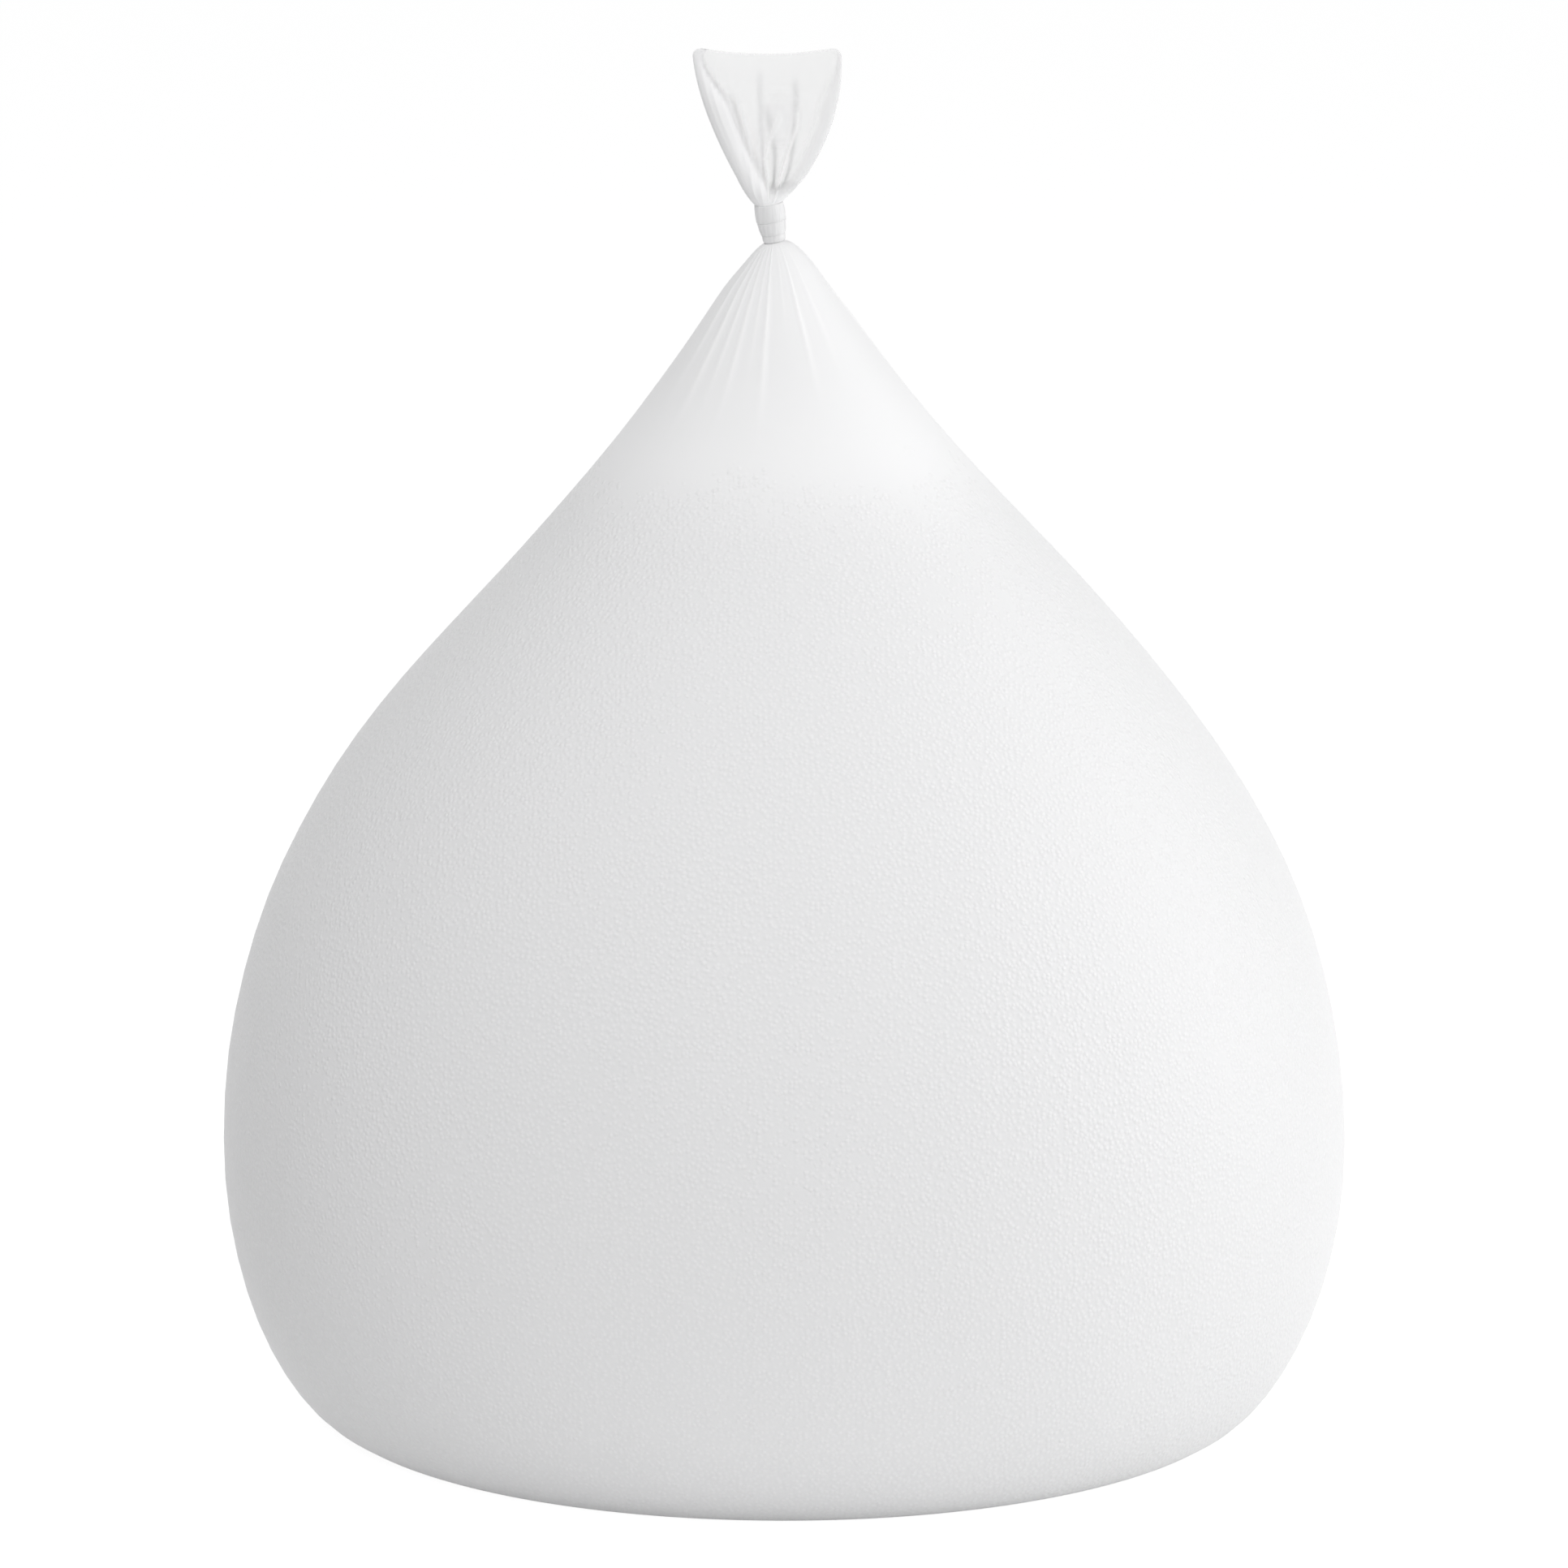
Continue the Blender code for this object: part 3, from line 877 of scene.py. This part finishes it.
class Nodes:
    """Short forms for building one material's node tree."""

    def __init__(self, name):
        self.material = bpy.data.materials.new(name)
        self.material.use_nodes = True
        self.tree = self.material.node_tree
        self.shader = self.tree.nodes["Principled BSDF"]

    def add(self, kind, **settings):
        """A new node with its settings."""
        node = self.tree.nodes.new(kind)
        for key, value in settings.items():
            setattr(node, key, value)
        return node

    def link(self, source, target):
        self.tree.links.new(source, target)

    def feed(self, socket, value):
        """Link another node's output to a socket, or set the socket to a plain value."""
        if isinstance(value, bpy.types.NodeSocket):
            self.link(value, socket)
        else:
            socket.default_value = value

    def math(self, operation, first, second):
        """Two values joined by one operation."""
        node = self.add("ShaderNodeMath", operation=operation)
        self.feed(node.inputs[0], first)
        self.feed(node.inputs[1], second)
        return node.outputs[0]

    def span(self, value, low, high, to_low, to_high):
        """A value eased from one span to another."""
        node = self.add("ShaderNodeMapRange", interpolation_type="SMOOTHSTEP")
        for number, entry in enumerate((value, low, high, to_low, to_high)):
            self.feed(node.inputs[number], entry)
        return node.outputs["Result"]

    def attribute(self, name, output="Fac"):
        """What the mesh keeps under a name."""
        return self.add("ShaderNodeAttribute", attribute_name=name).outputs[output]

    def place(self):
        """Position in the part's own frame."""
        return self.add("ShaderNodeTexCoord").outputs["Object"]

    def stretched(self, vector, scale, shift=(0.0, 0.0, 0.0)):
        """A position scaled along each axis, then shifted."""
        node = self.add("ShaderNodeMapping")
        self.link(vector, node.inputs["Vector"])
        node.inputs["Location"].default_value = shift
        node.inputs["Scale"].default_value = scale
        return node.outputs["Vector"]

    def grain(self, vector, scale, detail, roughness=0.5):
        """Soft irregular noise."""
        node = self.add("ShaderNodeTexNoise")
        self.link(vector, node.inputs["Vector"])
        node.inputs["Scale"].default_value = scale
        node.inputs["Detail"].default_value = detail
        node.inputs["Roughness"].default_value = roughness
        return node.outputs["Fac"]

    def cells(self, vector, scale, randomness):
        """A height for each cell, 1 at its middle and 0 at its edge, and its random number."""
        node = self.add("ShaderNodeTexVoronoi", feature="F1")
        self.link(vector, node.inputs["Vector"])
        node.inputs["Scale"].default_value = scale
        node.inputs["Randomness"].default_value = randomness
        height = self.span(node.outputs["Distance"], 0.0, CELL_EDGE, 1.0, 0.0)
        split = self.add("ShaderNodeSeparateColor")
        self.link(node.outputs["Color"], split.inputs["Color"])
        return height, split.outputs["Red"]

    def bump(self, height, distance, strength=1.0, under=None):
        """Relief of a height, over other relief where that is given."""
        node = self.add("ShaderNodeBump")
        node.inputs["Distance"].default_value = distance
        self.feed(node.inputs["Strength"], strength)
        self.link(height, node.inputs["Height"])
        if under is not None:
            self.link(under, node.inputs["Normal"])
        return node.outputs["Normal"]

    def blend(self, share, first, second):
        """A colour between the first and the second."""
        node = self.add("ShaderNodeMix", data_type="RGBA")
        self.feed(node.inputs["Factor"], share)
        self.feed(node.inputs["A"], first)
        self.feed(node.inputs["B"], second)
        return node.outputs["Result"]

    def finish(self, color, normal, roughness):
        """Give the shader its colour, relief and roughness."""
        self.link(color, self.shader.inputs["Base Color"])
        self.link(normal, self.shader.inputs["Normal"])
        self.shader.inputs["Roughness"].default_value = roughness


def rgba(red, green, blue):
    """An opaque colour, as a socket takes it."""
    return (red, green, blue, 1.0)


def film_finish(name, see_through):
    """Milky film. Beads behind it press their round tops through, and the tops are painted lighter
    as a painted highlight. Above them it is smooth, drawn into fine lines towards the tape and,
    where it is loose, partly see-through and painted lighter, as painted light for light through
    it. Its crests are whiter, partly for doubled film and partly as painted light, and the web
    near the tape is whiter as painted light."""
    nodes = Nodes(name)
    tops, chance = nodes.cells(nodes.place(), 1.0 / BEAD_PITCH, BEAD_RANDOMNESS)
    pressed = nodes.math("MULTIPLY", nodes.attribute("pressing"), PRESSING_REACH)
    pressed = nodes.math("SUBTRACT", pressed, chance)
    pressed = nodes.span(pressed, 0.0, PRESSING_SOFTNESS, 0.0, 1.0)
    tops = nodes.math("MULTIPLY", tops, pressed)
    normal = nodes.bump(tops, BEAD_RELIEF)
    if see_through:
        along = nodes.stretched(nodes.attribute("gather_lines", "Vector"), STREAK_SCALE)
        lines = nodes.grain(along, 1.0, STREAK_DETAIL, STREAK_ROUGHNESS)
        normal = nodes.bump(lines, STREAK_RELIEF, nodes.attribute("gathering"), normal)
        nodes.link(nodes.attribute("cover"), nodes.shader.inputs["Alpha"])
    # Bead tops take a lighter colour: a painted highlight
    over_beads = nodes.blend(tops, rgba(*FILM_COLOR), rgba(*BEAD_TOP_HIGHLIGHT_COLOR))
    # Crests are whiter, partly for doubled film and partly as a painted highlight, and the web
    # near the tape is whiter as painted light
    loose = nodes.blend(nodes.attribute("crest"), rgba(*LOOSE_PAINTED_LIGHT_COLOR), rgba(*CREST_AND_PAINTED_LIGHT_COLOR))
    # Above the beads the film takes the lighter loose colour: painted light for the light that
    # shines through the loose film
    color = nodes.blend(nodes.attribute("backing"), loose, over_beads)
    nodes.finish(color, normal, FILM_ROUGHNESS)
    nodes.shader.inputs["Specular IOR Level"].default_value = FILM_SHINE
    return nodes.material


def bead_finish():
    """Expanded polystyrene: matt white, with the fine skin cells of each bead."""
    nodes = Nodes("polystyrene_beads")
    skin, _ = nodes.cells(nodes.place(), BEAD_SKIN_CELLS, 1.0)
    color = nodes.blend(skin, rgba(*BEAD_SEAM_COLOR), rgba(*BEAD_COLOR))
    nodes.finish(color, nodes.bump(skin, BEAD_SKIN_RELIEF), BEAD_ROUGHNESS)
    return nodes.material


def tape_finish():
    """Clear tape over gathered film: smooth, a little greyer, with faint upright pleats."""
    nodes = Nodes("wound_tape")
    upright = nodes.stretched(nodes.place(), TAPE_LINES_SCALE, TAPE_LINES_SHIFT)
    lines = nodes.grain(upright, TAPE_LINES_GRAIN, TAPE_LINES_DETAIL)
    share = nodes.span(lines, *TAPE_LINES_SPAN, 0.0, 1.0)
    color = nodes.blend(share, rgba(*TAPE_DARK_COLOR), rgba(*TAPE_LIGHT_COLOR))
    nodes.finish(color, nodes.bump(lines, TAPE_LINES_RELIEF), TAPE_ROUGHNESS)
    nodes.shader.inputs["Specular IOR Level"].default_value = TAPE_SHINE
    return nodes.material


def seen_rays(tree):
    """1 for a ray that shows the surroundings: straight, mirrored or through clear stuff."""
    path = tree.nodes.new("ShaderNodeLightPath")
    seen = path.outputs["Is Camera Ray"]
    for kind in ("Is Glossy Ray", "Is Transmission Ray"):
        either = tree.nodes.new("ShaderNodeMath")
        either.operation = "MAXIMUM"
        tree.links.new(seen, either.inputs[0])
        tree.links.new(path.outputs[kind], either.inputs[1])
        seen = either.outputs[0]
    return seen


def make_floor():
    """Pale floor. To the camera it is nearly white and keeps a light shadow of the sack."""
    mesh = bpy.data.meshes.new("floor")
    body = bmesh.new()
    bmesh.ops.create_grid(body, x_segments=1, y_segments=1, size=FLOOR_HALF_SIZE)
    body.to_mesh(mesh)
    body.free()
    floor = add_object("floor", mesh)
    material = bpy.data.materials.new("pale_floor")
    material.use_nodes = True
    tree = material.node_tree
    shader = tree.nodes["Principled BSDF"]
    shader.inputs["Roughness"].default_value = FLOOR_ROUGHNESS
    shader.inputs["Specular IOR Level"].default_value = 0.0
    seen = seen_rays(tree)
    color = tree.nodes.new("ShaderNodeMix")
    color.data_type = "RGBA"
    tree.links.new(seen, color.inputs["Factor"])
    color.inputs["A"].default_value = rgba(FLOOR_COLOR, FLOOR_COLOR, FLOOR_COLOR)
    color.inputs["B"].default_value = rgba(FLOOR_SHADE, FLOOR_SHADE, FLOOR_SHADE)
    tree.links.new(color.outputs["Result"], shader.inputs["Base Color"])
    shader.inputs["Emission Color"].default_value = rgba(1.0, 1.0, 1.0)
    glow = tree.nodes.new("ShaderNodeMath")
    glow.operation = "MULTIPLY"
    tree.links.new(seen, glow.inputs[0])
    glow.inputs[1].default_value = FLOOR_LIGHT
    tree.links.new(glow.outputs[0], shader.inputs["Emission Strength"])
    mesh.materials.append(material)


def make_world():
    """Even soft light all round, and a white backdrop to the camera."""
    world = bpy.data.worlds.new("studio")
    bpy.context.scene.world = world
    world.use_nodes = True
    tree = world.node_tree
    light = tree.nodes["Background"]
    light.inputs["Color"].default_value = rgba(*AMBIENT_COLOR)
    light.inputs["Strength"].default_value = AMBIENT
    white = tree.nodes.new("ShaderNodeBackground")
    white.inputs["Color"].default_value = rgba(1.0, 1.0, 1.0)
    mix = tree.nodes.new("ShaderNodeMixShader")
    tree.links.new(seen_rays(tree), mix.inputs["Fac"])
    tree.links.new(light.outputs[0], mix.inputs[1])
    tree.links.new(white.outputs[0], mix.inputs[2])
    tree.links.new(mix.outputs[0], tree.nodes["World Output"].inputs["Surface"])


def make_softbox(lamp):
    """Square soft lamp that faces the middle of the sack."""
    light = bpy.data.lights.new(lamp.name, "AREA")
    light.shape = "SQUARE"
    light.size = lamp.size
    light.energy = lamp.power
    softbox = add_object(lamp.name, light)
    towards = Vector(lamp.towards)
    softbox.location = LAMP_TARGET + towards.normalized() * lamp.distance
    softbox.rotation_euler = towards.to_track_quat("Z", "Y").to_euler()


def make_camera():
    """Camera that the render looks through."""
    data = bpy.data.cameras.new("camera")
    data.sensor_width = SENSOR_WIDTH
    data.lens = LENS
    camera = add_object("camera", data)
    camera.location = CAMERA_PLACE
    camera.rotation_euler = (CAMERA_TILT, 0.0, 0.0)
    bpy.context.scene.camera = camera


def take_place(piece, node):
    """The piece rides with the sack and stands for its CAD node, which is hidden."""
    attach(piece, "root")
    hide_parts(node)


def main():
    """Make the studio and the pieces, and hide the CAD solids that the pieces stand for."""
    make_camera()
    make_world()
    for lamp in LAMPS:
        make_softbox(lamp)
    make_floor()
    pleats = cone_pleats()
    film = make_sack_film(pleats, film_finish("film_over_beads", False),
                          film_finish("loose_film", True))
    polystyrene = bead_finish()
    mass = make_bead_mass(pleats, polystyrene)
    heap = make_bead_heap(polystyrene)
    band = make_tape_band(tape_finish())
    take_place(film, "film_sack")
    take_place(mass, "bead_fill")
    take_place(band, "neck_tape")
    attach(heap, "root")
    scene = bpy.context.scene
    scene.view_settings.view_transform = "Standard"
    for kind, count in LIGHT_BOUNCES.items():
        setattr(scene.cycles, kind, count)


main()
